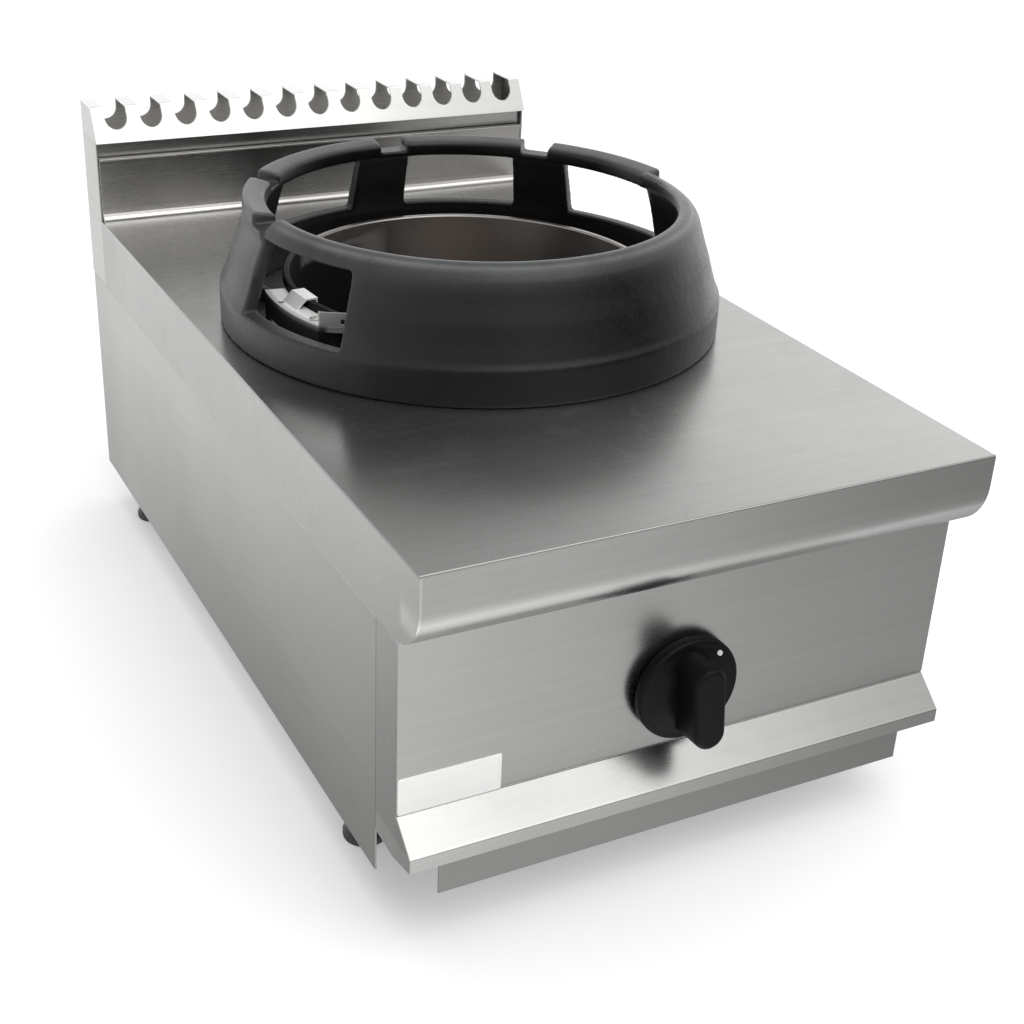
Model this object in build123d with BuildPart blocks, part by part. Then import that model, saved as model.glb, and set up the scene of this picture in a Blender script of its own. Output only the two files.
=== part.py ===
from build123d import *
import os
from math import cos, sin, radians, sqrt

# Counter-top wok range, 400 mm wide.  Millimetres, +Z up, +X right, front towards -Y.
# Origin: middle of the footprint, on the surface that the feet stand on.

os.makedirs("parts", exist_ok=True)

# ---------------------------------------------------------------- driving sizes
W = 400.0            # overall width
D = 705.0            # overall depth
YF = -D / 2          # nosing front face
YB = D / 2           # rear edge
ZT = 280.0           # worktop surface
HX = W / 2           # half width
T_TOP = 1.5          # worktop sheet
T_SH = 1.2           # casing sheet
Z_SKIRT = 222.0      # lower edge of the worktop skirt
Z_SIDE = 36.0        # lower edge of the side panels
R_NOSE = 36.0        # radius of the round underside of the nosing
Y_UP = 309.0         # front face of the coved upstand
Z_UP = 333.6         # top of the upstand
Y_SIDE = -291.5      # front edge of the side panels
Y_PAN = -323.5       # front face of the control panel
Z_LEDGE = 100.0      # top of the sloping ledge
Y_LIP = -344.5       # front of the lip
Z_LIP0 = 72.0
Z_LIP1 = 82.0
Z_CR0 = 346.5        # lower edge of the crown
Z_CR1 = 373.6        # top of the crown
Y_CR0 = 305.5        # crown front, low
Y_CR1 = 320.5        # crown front, high
N_SLOT = 13
SLOT_P = 30.0
SLOT_W = 19.0
SLOT_D = 17.5

AY = 2.0             # burner axis, y (x = 0)
R_COL_I = 135.8      # collar round the burner opening
R_COL_O = 137.3
Z_COL = ZT + 31.0
R_COVE = 5.5         # cove at the foot of the upstand

R_RING = 185.0       # wok ring, outside at the foot
Z_WIN1 = ZT + 78.0   # ring windows, head
# ring windows: angles of the jambs and height of the sill over the worktop
WINDOWS = [((5.5, 36.5), 34.0), ((52.5, 83.5), 34.0), ((99.0, 130.0), 34.0), ((185.0, 216.0), 27.0)]
A_TALL0, A_TALL1 = 3.5, 184.0     # sector with the square-shouldered rail
NOTCHES = [(41.0, 49.5), (85.0, 93.4), (140.0, 147.0), (178.5, 184.0)]

KX, KZ = -4.0, 145.0  # knob axis
KNOB_R = 36.2
KNOB_Y0 = Y_PAN - 3.6 # back of the knob skirt
KNOB_T = 7.5
GRIP_W = 23.0
GRIP_L = 61.5
GRIP_Y1 = Y_PAN - 36.5
GRIP_A = 5.0         # the grip stands a little off upright

TRAY_Y = -335.0      # tray front face
TRAY_HX = 176.0
PAN_HX = 160.0       # half width of the tray's pan
Z_TRAY0, Z_TRAY1 = 42.3, 71.0

FOOT_X, FOOT_YF, FOOT_YR = 174.0, -214.0, 296.0
FOOT_POS = [(-FOOT_X, FOOT_YF), (FOOT_X, FOOT_YF), (-FOOT_X, FOOT_YR), (FOOT_X, FOOT_YR)]

Z_TUBE = 145.0       # axis of the burner mixing tube
INLET_X, INLET_Y = 132.0, 300.0

CENTRE = Axis((0, AY, 0), (0, 0, 1))


def yz(x):
    """Sketch plane across the width: local x is Y, local y is Z, normal +X."""
    return Plane(origin=(x, 0, 0), x_dir=(0, 1, 0), z_dir=(1, 0, 0))


def xz(y, x0=0.0, z0=0.0):
    """Sketch plane facing the front: local x is X, local y is Z, normal -Y."""
    return Plane(origin=(x0, y, z0), x_dir=(1, 0, 0), z_dir=(0, -1, 0))


def radial(a, x0=0.0, y0=AY):
    """Plane through a vertical axis at angle a: local x is the radius, local y is Z."""
    return Plane(origin=(x0, y0, 0), x_dir=(cos(radians(a)), sin(radians(a)), 0),
                 z_dir=(sin(radians(a)), -cos(radians(a)), 0))


def save(part, name):
    part.label = name
    export_step(part, f"parts/{name}.step")


# ---------------------------------------------------------------- worktop
with BuildPart() as worktop:
    # outside block: skirts, nosing, plate
    with BuildSketch(yz(-HX)):
        with BuildLine():
            Polyline((Y_UP, Z_SKIRT), (Y_UP, ZT), (YF + 1.2, ZT))
            RadiusArc((YF + 1.2, ZT), (YF, ZT - 1.2), -1.2)
            Line((YF, ZT - 1.2), (YF, Z_SKIRT + R_NOSE))
            RadiusArc((YF, Z_SKIRT + R_NOSE), (YF + R_NOSE, Z_SKIRT), -R_NOSE)
            Line((YF + R_NOSE, Z_SKIRT), (Y_UP, Z_SKIRT))
        make_face()
    extrude(amount=W)
    # hollow under the plate, leaving the turned-in lower flange of the nosing
    with BuildSketch(yz(-HX + T_TOP)):
        with BuildLine():
            Polyline((Y_UP + 1, Z_SKIRT - 1), (Y_UP + 1, ZT - T_TOP), (YF + T_TOP, ZT - T_TOP),
                     (YF + T_TOP, Z_SKIRT + R_NOSE))
            RadiusArc((YF + T_TOP, Z_SKIRT + R_NOSE), (YF + R_NOSE, Z_SKIRT + T_TOP), -(R_NOSE - T_TOP))
            Polyline((YF + R_NOSE, Z_SKIRT + T_TOP), (YF + R_NOSE + 20, Z_SKIRT + T_TOP),
                     (YF + R_NOSE + 20, Z_SKIRT - 1), (Y_UP + 1, Z_SKIRT - 1))
        make_face()
    extrude(amount=W - 2 * T_TOP, mode=Mode.SUBTRACT)
    # seats of the burner collar and of the coved upstand
    with BuildSketch(Plane.XY.offset(ZT - 5)):
        with Locations((0, AY)):
            Circle(R_COL_O + 9)
        with Locations((0, Y_UP)):
            Rectangle(W - 2 * T_TOP - 0.4, 2 * R_COVE)
    extrude(amount=10, mode=Mode.SUBTRACT)
save(worktop.part, "worktop")

with BuildPart() as splashback:
    # coved upstand with a small hem along its top
    with BuildSketch(yz(-HX + T_TOP + 0.2)):
        with BuildLine():
            Polyline((Y_UP - R_COVE, ZT - T_TOP), (Y_UP - R_COVE, ZT))
            RadiusArc((Y_UP - R_COVE, ZT), (Y_UP, ZT + R_COVE), R_COVE)
            Polyline((Y_UP, ZT + R_COVE), (Y_UP, Z_UP - 1.5), (Y_UP - 4.5, Z_UP - 1.5), (Y_UP - 4.5, Z_UP),
                     (Y_UP + T_TOP, Z_UP), (Y_UP + T_TOP, ZT - T_TOP), (Y_UP - R_COVE, ZT - T_TOP))
        make_face()
    extrude(amount=W - 2 * T_TOP - 0.4)
save(splashback.part, "splashback")

with BuildPart() as burner_collar:
    # drawn collar round the burner opening
    with BuildSketch(radial(0)):
        with BuildLine():
            Polyline((R_COL_I, ZT - T_TOP), (R_COL_O + 9, ZT - T_TOP), (R_COL_O + 9, ZT))
            RadiusArc((R_COL_O + 9, ZT), (R_COL_O, ZT + 9), 9)
            Polyline((R_COL_O, ZT + 9), (R_COL_O, Z_COL), (R_COL_I, Z_COL), (R_COL_I, ZT - T_TOP))
        make_face()
    revolve(axis=CENTRE)
save(burner_collar.part, "burner_collar")

# ---------------------------------------------------------------- side panels
XS = HX - 0.5                       # outer face of the side sheets
with BuildPart() as side_panel_right:
    with BuildSketch(xz(YB)):
        with BuildLine():
            Polyline((XS - T_SH, Z_SIDE), (XS, Z_SIDE), (XS, Z_SKIRT - 1.5), (XS - T_SH, Z_SKIRT - 0.3),
                     (XS - T_SH, Z_SKIRT + 40), (XS - 2 * T_SH, Z_SKIRT + 40), (XS - 2 * T_SH, Z_SKIRT - 0.9),
                     (XS - T_SH, Z_SKIRT - 2.1), (XS - T_SH, Z_SIDE))
        make_face()
    extrude(amount=YB - Y_SIDE)
    # joggled tongue stops short of the nosing flange and of the flue casing
    with BuildSketch(Plane.XY.offset(Z_SKIRT - 0.4)):
        with Locations((XS - 3, YB - 30)):
            Rectangle(10, 62)
    extrude(amount=60, mode=Mode.SUBTRACT)
save(side_panel_right.part, "side_panel_right")

with BuildPart() as side_panel_left:
    mirror(side_panel_right.part, about=Plane.YZ)
save(side_panel_left.part, "side_panel_left")

# ---------------------------------------------------------------- base pan
XP = XS - T_SH - 0.2                # outer face of the pan's upturned sides
with BuildPart() as base_pan:
    with BuildSketch(xz(YB - 4.5)):
        with BuildLine():
            Polyline((-XP, Z_SIDE), (XP, Z_SIDE), (XP, Z_SIDE + 16), (XP - T_SH, Z_SIDE + 16),
                     (XP - T_SH, Z_SIDE + T_SH), (-XP + T_SH, Z_SIDE + T_SH), (-XP + T_SH, Z_SIDE + 16),
                     (-XP, Z_SIDE + 16), (-XP, Z_SIDE))
        make_face()
    extrude(amount=YB - 4.5 + 236)
    # air intake slots under the burner, foot holes, gas inlet hole
    with BuildSketch(Plane.XY.offset(Z_SIDE - 1)):
        with Locations((0, AY)):
            with GridLocations(0, 24, 1, 8):
                SlotOverall(150, 9)
    extrude(amount=5, mode=Mode.SUBTRACT)
    with BuildSketch(Plane.XY.offset(Z_SIDE - 1)):
        with Locations(*FOOT_POS):
            Circle(6.0)
        with Locations((INLET_X, INLET_Y)):
            Circle(12.0)
    extrude(amount=5, mode=Mode.SUBTRACT)
save(base_pan.part, "base_pan")

# ---------------------------------------------------------------- rear panel, set 3 mm in
with BuildPart() as rear_panel:
    with BuildSketch(xz(YB - 3.0)):
        with Locations((0, (Z_SIDE + 0.1 + Z_SKIRT - 2.4) / 2)):
            Rectangle(2 * (XS - T_SH - 0.1), Z_SKIRT - 2.4 - Z_SIDE - 0.1)
    extrude(amount=T_SH)
    # cooling slots high up on the back
    with BuildSketch(xz(YB - 2.0)):
        with Locations((0, 190)):
            with GridLocations(0, 12, 1, 3):
                SlotOverall(220, 5)
        with Locations((-188, 60), (188, 60), (-188, 130), (188, 130), (-188, 205), (188, 205)):
            Circle(2.6)
    extrude(amount=5, mode=Mode.SUBTRACT)
save(rear_panel.part, "rear_panel")

with BuildPart() as casing_screws:
    # pan-head screws that hold the rear panel, with their clip nuts
    with BuildSketch(xz(YB - 2.99)):
        with Locations((-188, 60), (188, 60), (-188, 130), (188, 130), (-188, 205), (188, 205)):
            Circle(4.5)
    extrude(amount=-2.2)
    with BuildSketch(xz(YB - 2.99)):
        with Locations((-188, 60), (188, 60), (-188, 130), (188, 130), (-188, 205), (188, 205)):
            Circle(2.4)
    extrude(amount=9)
save(casing_screws.part, "casing_screws")

# ---------------------------------------------------------------- control panel
with BuildPart() as control_panel:
    with BuildSketch(yz(-XS)):
        with BuildLine():
            Polyline((Y_SIDE - 0.5, Z_SKIRT - 0.3), (Y_PAN, Z_SKIRT - 0.3), (Y_PAN, Z_LEDGE + 1.0),
                     (Y_PAN + 0.8, Z_LEDGE + 1.0), (Y_PAN + 0.8, Z_LEDGE), (Y_PAN, Z_LEDGE),
                     (Y_LIP, Z_LIP1), (Y_LIP, Z_LIP0), (-318, 66.5), (Y_SIDE - 0.5, 68),
                     (Y_SIDE - 0.5, Z_SKIRT - 0.3))
        make_face()
    extrude(amount=2 * XS)
    with BuildSketch(yz(-XS + T_SH)):
        with BuildLine():
            Polyline((Y_SIDE + 2, Z_SKIRT - 0.3 - T_SH), (Y_PAN + 2.0, Z_SKIRT - 0.3 - T_SH),
                     (Y_PAN + 2.0, Z_LEDGE - 0.4), (Y_LIP + T_SH, Z_LIP1 - 0.6), (Y_LIP + T_SH, Z_LIP0 + T_SH),
                     (Y_LIP + 8, Z_LIP0 + T_SH), (Y_LIP + 8, 55), (Y_SIDE + 2, 55),
                     (Y_SIDE + 2, Z_SKIRT - 0.3 - T_SH))
        make_face()
    extrude(amount=2 * (XS - T_SH), mode=Mode.SUBTRACT)
    # spindle hole
    with BuildSketch(xz(Y_PAN + 6, KX, KZ)):
        Circle(8.0)
    extrude(amount=12, mode=Mode.SUBTRACT)
save(control_panel.part, "control_panel")

with BuildPart() as badge_plate:
    with BuildSketch(xz(Y_PAN)):
        with Locations((-164.4, 113.6)):
            RectangleRounded(68.6, 26.4, 1.2)
    extrude(amount=0.9)
    chamfer(badge_plate.faces().sort_by(Axis.Y)[0].edges(), 0.25)
save(badge_plate.part, "badge_plate")

# ---------------------------------------------------------------- raised rear part
with BuildPart() as flue_casing:
    with BuildSketch(Plane.XY.offset(Z_SKIRT + 0.3)):
        with BuildLine():
            Polyline((-HX, Y_UP + 0.2), (-HX, YB), (HX, YB), (HX, Y_UP + 0.2), (HX - T_TOP, Y_UP + 0.2),
                     (HX - T_TOP, YB - T_TOP), (-HX + T_TOP, YB - T_TOP), (-HX + T_TOP, Y_UP + 0.2),
                     (-HX, Y_UP + 0.2))
        make_face()
    extrude(amount=Z_CR0 - Z_SKIRT - 0.5)
save(flue_casing.part, "flue_casing")

with BuildPart() as flue_crown:
    with BuildSketch(yz(-HX)):
        with BuildLine():
            Polyline((Y_CR0, Z_CR0), (Y_CR1 - 0.6, Z_CR1 - 1.1))
            RadiusArc((Y_CR1 - 0.6, Z_CR1 - 1.1), (Y_CR1 + 1.2, Z_CR1), 1.8)
            Polyline((Y_CR1 + 1.2, Z_CR1), (YB, Z_CR1), (YB, Z_CR0), (Y_CR0, Z_CR0))
        make_face()
    extrude(amount=W)
    with BuildSketch(yz(-HX + T_TOP)):
        with BuildLine():
            Polyline((Y_CR0 + 9.0, Z_CR0 - 1), (Y_CR0 + 9.0, Z_CR0 + T_TOP), (Y_CR0 + 2.6, Z_CR0 + T_TOP),
                     (Y_CR1 + 0.9, Z_CR1 - T_TOP), (YB - T_TOP, Z_CR1 - T_TOP), (YB - T_TOP, Z_CR0 - 1),
                     (Y_CR0 + 9.0, Z_CR0 - 1))
        make_face()
    extrude(amount=W - 2 * T_TOP, mode=Mode.SUBTRACT)
    # leg that drops behind the hem of the upstand
    with BuildSketch(Plane.XY.offset(Z_CR0 + 0.5)):
        with Locations((0, Y_CR0 + 8.4)):
            Rectangle(W - 2 * T_TOP - 0.6, 1.2)
    extrude(amount=-20)
    # outlet: round-bottomed slots right across the top
    with BuildSketch(xz(YB + 5)):
        with Locations(*[((k - (N_SLOT - 1) / 2) * SLOT_P, Z_CR1 - SLOT_D + SLOT_W / 2) for k in range(N_SLOT)]):
            Circle(SLOT_W / 2)
        with Locations(*[((k - (N_SLOT - 1) / 2) * SLOT_P, Z_CR1 + 5) for k in range(N_SLOT)]):
            Rectangle(SLOT_W, 2 * (5 + SLOT_D - SLOT_W / 2))
    extrude(amount=YB + 5 - 300, mode=Mode.SUBTRACT)
save(flue_crown.part, "flue_crown")

with BuildPart() as flue_baffle:
    # sloping sheet that turns the burnt gas up into the outlet
    with BuildSketch(yz(-190)):
        with BuildLine():
            Polyline((300, 224), (312, 224), (346, 300), (346, 318), (344.8, 318), (344.8, 300.3),
                     (311.2, 225.2), (300, 225.2), (300, 224))
        make_face()
    extrude(amount=380)
save(flue_baffle.part, "flue_baffle")

# ---------------------------------------------------------------- cast wok ring
OUT_FRONT = [(185.0, 0), (185.0, 26), (182.5, 30), (178.7, 41), (174.7, 54), (170.3, 66), (167.4, 75)]


def ring_profile(tall):
    """Closed section of the ring wall (radius, height over the worktop)."""
    if tall:
        return OUT_FRONT + [(166.8, 90.0), (165.0, 91.6), (152.0, 89.2), (150.0, 87.2), (150.0, 78.0),
                            (157.0, 76.5), (161.0, 66.0), (165.0, 52.0), (169.0, 38.0), (172.0, 27.0), (172.0, 0)]
    return OUT_FRONT + [(165.6, 80.6), (162.6, 85.2), (158.4, 88.4), (154.2, 89.8), (151.0, 90.0), (149.2, 88.4),
                        (149.0, 84.6), (150.6, 80.6), (156.0, 74.5), (161.0, 65.0), (165.0, 52.0), (169.0, 38.0),
                        (172.0, 27.0), (172.0, 0)]


with BuildPart() as wok_ring:
    pts = [(r, ZT + z) for r, z in ring_profile(False)]
    with BuildSketch(radial(A_TALL1)):
        with BuildLine():
            Polyline(*pts, close=True)
        make_face()
    revolve(axis=CENTRE, revolution_arc=360 - (A_TALL1 - A_TALL0))
    pts = [(r, ZT + z) for r, z in ring_profile(True)]
    with BuildSketch(radial(A_TALL0)):
        with BuildLine():
            Polyline(*pts, close=True)
        make_face()
    revolve(axis=CENTRE, revolution_arc=A_TALL1 - A_TALL0)
    # windows, and dips in the top rail over the pillars
    for (a0, a1), z0, z1 in [(w, ZT + s, Z_WIN1) for w, s in WINDOWS] + [(n, ZT + 82.5, ZT + 95) for n in NOTCHES]:
        with BuildSketch(radial(a0)):
            with Locations((165, (z0 + z1) / 2)):
                Rectangle(90, z1 - z0)
        revolve(axis=CENTRE, revolution_arc=a1 - a0, mode=Mode.SUBTRACT)
    # short inner ribs that centre the ring on the collar
    for a in (43.0, 150.0, 262.0, 330.0):
        with BuildSketch(radial(a).offset(-4)):
            with BuildLine():
                Polyline((147.5, ZT), (174, ZT), (174, ZT + 17), (164, ZT + 15), (147.5, ZT + 6), close=True)
            make_face()
        extrude(amount=8)
save(wok_ring.part, "wok_ring")

# ---------------------------------------------------------------- spill bowl
ZR = Z_COL + 0.2
with BuildPart() as spill_bowl:
    with BuildSketch(radial(0)):
        with BuildLine():
            Polyline((135.3, ZR), (138.2, ZR), (138.2, ZR - 4.2), (139.4, ZR - 4.2), (139.4, ZR + 0.4))
            RadiusArc((139.4, ZR + 0.4), (138.0, ZR + 1.8), -1.4)
            Line((138.0, ZR + 1.8), (135.6, ZR + 1.8))
            RadiusArc((135.6, ZR + 1.8), (134.1, ZR + 0.3), -1.5)
            Line((134.1, ZR + 0.3), (134.1, 212))
            RadiusArc((134.1, 212), (118, 192), 26)
            Polyline((118, 192), (72, 184.2), (72, 183), (118.4, 190.8))
            RadiusArc((118.4, 190.8), (135.3, 212), -27.2)
            Line((135.3, 212), (135.3, ZR))
        make_face()
    revolve(axis=CENTRE)
save(spill_bowl.part, "spill_bowl")

# ---------------------------------------------------------------- burner
with BuildPart() as burner_support:
    with BuildSketch(yz(-XP + 0.2)):
        with BuildLine():
            Polyline((AY - 45, 112), (AY - 45, 119.4), (AY - 43.8, 120.6), (AY + 43.8, 120.6), (AY + 45, 119.4),
                     (AY + 45, 112), (AY + 46.2, 112), (AY + 46.2, 121.8), (AY - 46.2, 121.8), (AY - 46.2, 112),
                     close=True)
        make_face()
    extrude(amount=2 * (XP - 0.2))
save(burner_support.part, "burner_support")

with BuildPart() as burner_body:
    with BuildSketch(radial(0)):
        with BuildLine():
            Polyline((0, 121.8), (30, 121.8), (30, 126), (24, 132), (24, 176), (44, 196), (47, 200), (47, 222),
                     (41, 222), (41, 203), (38, 200), (17, 182), (17, 150), (0, 150), close=True)
        make_face()
    revolve(axis=CENTRE)
    with BuildSketch(xz(AY, 0, Z_TUBE)):
        Circle(21.0)
    extrude(amount=152 + AY)
    with BuildSketch(xz(AY + 12, 0, Z_TUBE)):
        Circle(16.0)
    extrude(amount=160 + AY + 12, mode=Mode.SUBTRACT)
    with BuildSketch(radial(0)):
        with BuildLine():
            Polyline((0, Z_TUBE), (17, Z_TUBE), (17, 182), (38, 200), (38, 203), (0, 203), close=True)
        make_face()
    revolve(axis=CENTRE, mode=Mode.SUBTRACT)
    # two lugs bolted to the support
    with BuildSketch(Plane.XY.offset(121.8)):
        with Locations((-36, AY), (36, AY)):
            RectangleRounded(24, 18, 4)
    extrude(amount=6)
    with BuildSketch(Plane.XY.offset(120)):
        with Locations((-40, AY), (40, AY)):
            Circle(3.2)
    extrude(amount=12, mode=Mode.SUBTRACT)
save(burner_body.part, "burner_body")

with BuildPart() as burner_head:
    with BuildSketch(radial(0)):
        with BuildLine():
            Polyline((40.6, 212), (40.6, 222.3), (57, 222.3), (58, 223.3), (58, 229), (52, 236), (50, 246), (38, 246),
                     (38, 236), (35.5, 230), (35.5, 212), close=True)
        make_face()
    revolve(axis=CENTRE)
    with BuildSketch(Plane.XY.offset(239.5)):
        with Locations((0, AY)):
            with PolarLocations(44, 28):
                Rectangle(20, 2.4)
    extrude(amount=10, mode=Mode.SUBTRACT)
save(burner_head.part, "burner_head")

with BuildPart() as burner_cap:
    with BuildSketch(radial(0)):
        with BuildLine():
            Polyline((0, 246.3), (35, 246.3), (35, 240), (37, 240), (37, 246.3), (50.5, 246.3), (52, 247.6),
                     (51.2, 250))
            ThreePointArc((51.2, 250), (30, 255.0), (8, 257.2))
            Polyline((8, 257.2), (0, 257.2), (0, 246.3))
        make_face()
    revolve(axis=CENTRE)
save(burner_cap.part, "burner_cap")

with BuildPart() as air_shutter:
    # sleeve that slides on the end of the mixing tube
    with BuildSketch(xz(-124, 0, Z_TUBE)):
        Circle(23.5)
        Circle(21.06, mode=Mode.SUBTRACT)
    extrude(amount=24)
    with BuildSketch(Plane.XY.offset(Z_TUBE + 23.0)):
        with Locations((0, -136)):
            Circle(3.5)
    extrude(amount=8)
save(air_shutter.part, "air_shutter")

with BuildPart() as injector:
    with BuildSketch(xz(-150, 0, Z_TUBE)):
        Circle(5.0)
    extrude(amount=12)
    with BuildSketch(xz(-162, 0, Z_TUBE)):
        RegularPolygon(7.0, 6)
    extrude(amount=6)
    with BuildSketch(xz(-150, 0, Z_TUBE)):
        Circle(1.1)
    extrude(amount=18, mode=Mode.SUBTRACT)
save(injector.part, "injector")

with BuildPart() as injector_holder:
    # elbow block on a foot plate screwed to a bracket off the burner tube
    with BuildSketch(xz(-168, 0, Z_TUBE)):
        RectangleRounded(22, 22, 3)
    extrude(amount=16)
    with BuildSketch(xz(-166, 0, Z_TUBE)):
        Circle(3.0)
    extrude(amount=20, mode=Mode.SUBTRACT)
    with BuildSketch(Plane.XY.offset(Z_TUBE - 11)):
        with Locations((0, -176)):
            Rectangle(18, 12)
    extrude(amount=-(Z_TUBE - 11 - 110))
save(injector_holder.part, "injector_holder")

with BuildPart() as tap_bracket:
    # cross rail behind the panel that carries the gas tap and the injector holder
    with BuildSketch(yz(-XP + 0.2)):
        with BuildLine():
            Polyline((-284, 108.6), (-168, 108.6), (-168, 109.8), (-282.8, 109.8), (-282.8, 122), (-284, 122),
                     close=True)
        make_face()
    extrude(amount=2 * (XP - 0.2))
    with BuildSketch(Plane.XY.offset(100)):
        with Locations((-110, -226), (70, -226)):
            RectangleRounded(110, 84, 6)
        with Locations((-4, -262)):
            Circle(14)
        with Locations((INLET_X, -225)):
            Rectangle(24, 130)
    extrude(amount=12, mode=Mode.SUBTRACT)
save(tap_bracket.part, "tap_bracket")

# ---------------------------------------------------------------- gas tap and knob
with BuildPart() as gas_tap:
    with BuildSketch(xz(-250, KX, KZ)):
        RectangleRounded(34, 34, 4)
    extrude(amount=44)
    with BuildSketch(xz(-294, KX, KZ)):
        Circle(14)
    extrude(amount=12)
    with BuildSketch(xz(-240, KX, KZ)):
        Circle(8)
    extrude(amount=10)
    with BuildSketch(Plane.XY.offset(KZ - 16)):
        with Locations((KX, -262)):
            Circle(11)
    extrude(amount=-(KZ - 16 - 104.3))
    # bore for the spindle and the push rod, open at the front
    with BuildSketch(xz(-262, KX, KZ)):
        Circle(6.0)
    extrude(amount=50, mode=Mode.SUBTRACT)
    # side bosses for the pilot tube and the thermocouple
    with BuildSketch(xz(-244, KX, KZ)):
        with Locations((-12.0, 9.0), (12.0, 9.0)):
            Circle(4.2)
    extrude(amount=8)
save(gas_tap.part, "gas_tap")

with BuildPart() as tap_spindle:
    with BuildSketch(xz(-286, KX, KZ)):
        Circle(5.92)
    extrude(amount=4)
    with BuildSketch(xz(-290, KX, KZ)):
        Circle(4.0)
    extrude(amount=-(-349 + 290))
    # flat of the D end
    with BuildSketch(xz(-330, KX, KZ)):
        with Locations((0, 6.0)):
            Rectangle(12, 5.2)
    extrude(amount=25, mode=Mode.SUBTRACT)
save(tap_spindle.part, "tap_spindle")

with BuildPart() as tap_push_rod:
    with BuildSketch(xz(-282.6, KX, KZ)):
        Circle(5.5)
    extrude(amount=3.3)
    with BuildSketch(xz(-266, KX, KZ)):
        Circle(2.4)
    extrude(amount=17)
save(tap_push_rod.part, "tap_push_rod")

with BuildPart() as spindle_gasket:
    with BuildSketch(xz(Y_PAN + 1.3, KX, KZ)):
        Circle(7.9)
        Circle(4.6, mode=Mode.SUBTRACT)
    extrude(amount=1.5)
save(spindle_gasket.part, "spindle_gasket")

with BuildPart() as knob:
    # skirt with a hollow back, and the low dome under the grip
    with BuildSketch(Plane(origin=(KX, 0, KZ), x_dir=(1, 0, 0), z_dir=(0, 0, 1))):
        with BuildLine():
            Polyline((0, KNOB_Y0), (9, KNOB_Y0), (9, KNOB_Y0 - 4.6), (32, KNOB_Y0 - 4.6), (33.6, KNOB_Y0),
                     (KNOB_R, KNOB_Y0), (KNOB_R, KNOB_Y0 - KNOB_T + 2.2), (KNOB_R - 1.8, KNOB_Y0 - KNOB_T),
                     (30, KNOB_Y0 - KNOB_T - 0.4), (21, KNOB_Y0 - KNOB_T - 2.4), (0, KNOB_Y0 - KNOB_T - 3.2),
                     close=True)
        make_face()
    revolve(axis=Axis((KX, 0, KZ), (0, 1, 0)))
    # grip bar
    with BuildSketch(xz(KNOB_Y0 - 6.0, KX, KZ)):
        SlotOverall(GRIP_L, GRIP_W, rotation=90 + GRIP_A)
    extrude(amount=-(GRIP_Y1 - KNOB_Y0 + 6.0), taper=1.5)
    tip = knob.faces().sort_by(Axis.Y)[0]
    fillet(tip.edges(), 2.6)
    # socket for the spindle
    with BuildSketch(xz(KNOB_Y0 + 1, KX, KZ)):
        Circle(4.06)
    extrude(amount=24.0, mode=Mode.SUBTRACT)
save(knob.part, "knob")

# ---------------------------------------------------------------- gas pipes
with BuildPart() as manifold_pipe:
    with BuildLine() as run:
        FilletPolyline((-34, -262, 95.5), (INLET_X, -262, 95.5), (INLET_X, INLET_Y, 95.5), (INLET_X, INLET_Y, 62.2),
                       radius=24)
    with BuildSketch(Plane(origin=(-34, -262, 95.5), z_dir=(1, 0, 0))):
        Circle(8.6)
        Circle(6.6, mode=Mode.SUBTRACT)
    sweep()
save(manifold_pipe.part, "manifold_pipe")

with BuildPart() as gas_inlet:
    with BuildSketch(Plane.XY.offset(44)):
        with Locations((INLET_X, INLET_Y)):
            RegularPolygon(15.0, 6)
    extrude(amount=18)
    with BuildSketch(Plane.XY.offset(33.5)):
        with Locations((INLET_X, INLET_Y)):
            Circle(11.7)
    extrude(amount=10.5)
    with BuildSketch(Plane.XY.offset(11.5)):
        with Locations((INLET_X, INLET_Y)):
            Circle(10.48)
    extrude(amount=22)
    with BuildSketch(Plane.XY.offset(10)):
        with Locations((INLET_X, INLET_Y)):
            Circle(6.6)
    extrude(amount=60, mode=Mode.SUBTRACT)
save(gas_inlet.part, "gas_inlet")

with BuildPart() as burner_feed_pipe:
    with BuildLine() as feed:
        FilletPolyline((KX, -239.8, KZ), (KX, -224, KZ), (0, -200, Z_TUBE), (0, -184.2, Z_TUBE), radius=18)
    with BuildSketch(Plane(origin=(KX, -239.8, KZ), z_dir=(0, 1, 0))):
        Circle(5.0)
        Circle(3.8, mode=Mode.SUBTRACT)
    sweep()
save(burner_feed_pipe.part, "burner_feed_pipe")

with BuildPart() as pipe_nuts:
    # compression nuts at both ends of the feed pipe and the end cap of the manifold
    with BuildSketch(xz(-229.6, KX, KZ)):
        RegularPolygon(9.0, 6)
        Circle(5.15, mode=Mode.SUBTRACT)
    extrude(amount=10)
    with BuildSketch(xz(-184.4, 0, Z_TUBE)):
        RegularPolygon(9.0, 6)
        Circle(5.15, mode=Mode.SUBTRACT)
    extrude(amount=9)
    with BuildSketch(Plane(origin=(-34.2, -262, 95.5), x_dir=(0, 1, 0), z_dir=(-1, 0, 0))):
        RegularPolygon(11.0, 6)
    extrude(amount=9)
save(pipe_nuts.part, "pipe_nuts")

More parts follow.
